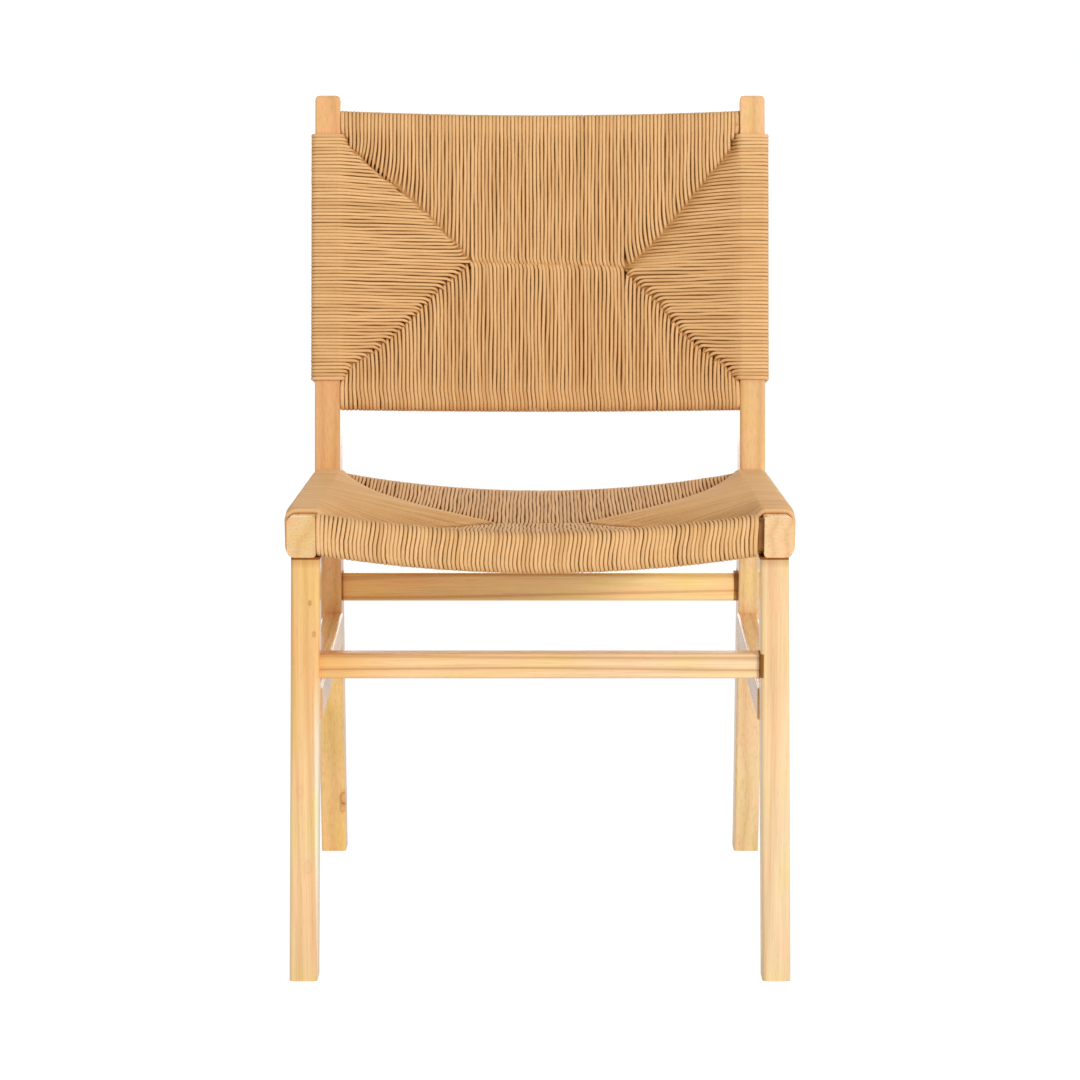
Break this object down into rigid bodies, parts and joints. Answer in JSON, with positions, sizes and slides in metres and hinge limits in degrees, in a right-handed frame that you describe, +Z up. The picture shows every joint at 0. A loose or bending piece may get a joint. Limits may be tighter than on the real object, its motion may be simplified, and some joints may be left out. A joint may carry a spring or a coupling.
{
  "type": "paper cord chair",
  "caption": "Side chair with a light hardwood frame, dipped seat rails, leaning bowed back, and a seat and back panel wound from paper cord.",
  "frame": {"origin": "on the floor, under the centre of the bounding box", "axes": "+Z up, the front of the chair faces -Y, +X is to the right seen from the front"},
  "size_m": [0.4884, 0.5106, 0.8335],
  "materials": {
    "frame": "satin",
    "dowel": "matt",
    "cord": "waxed",
    "card": "matt"
  },
  "bodies": {
    "root": {"front_leg_left": "frame", "front_leg_right": "frame", "rear_leg_left": "frame", "rear_leg_right": "frame", "side_rail_left": "frame", "side_rail_right": "frame", "front_seat_rail": "frame", "rear_seat_rail": "frame", "front_stretcher": "frame", "rear_stretcher": "frame", "side_stretcher_left": "frame", "side_stretcher_right": "frame", "back_top_rail": "frame", "back_bottom_rail": "frame", "front_leg_dowels": "dowel", "side_rail_dowels": "dowel", "front_rail_dowels": "dowel", "rear_rail_dowels": "dowel", "seat_cord": "cord", "back_cord": "cord", "seat_card_front": "card", "seat_card_rear": "card", "seat_card_left": "card", "seat_card_right": "card", "back_card_top": "card", "back_card_bottom": "card", "back_card_left": "card", "back_card_right": "card"}
  },
  "joints": []
}
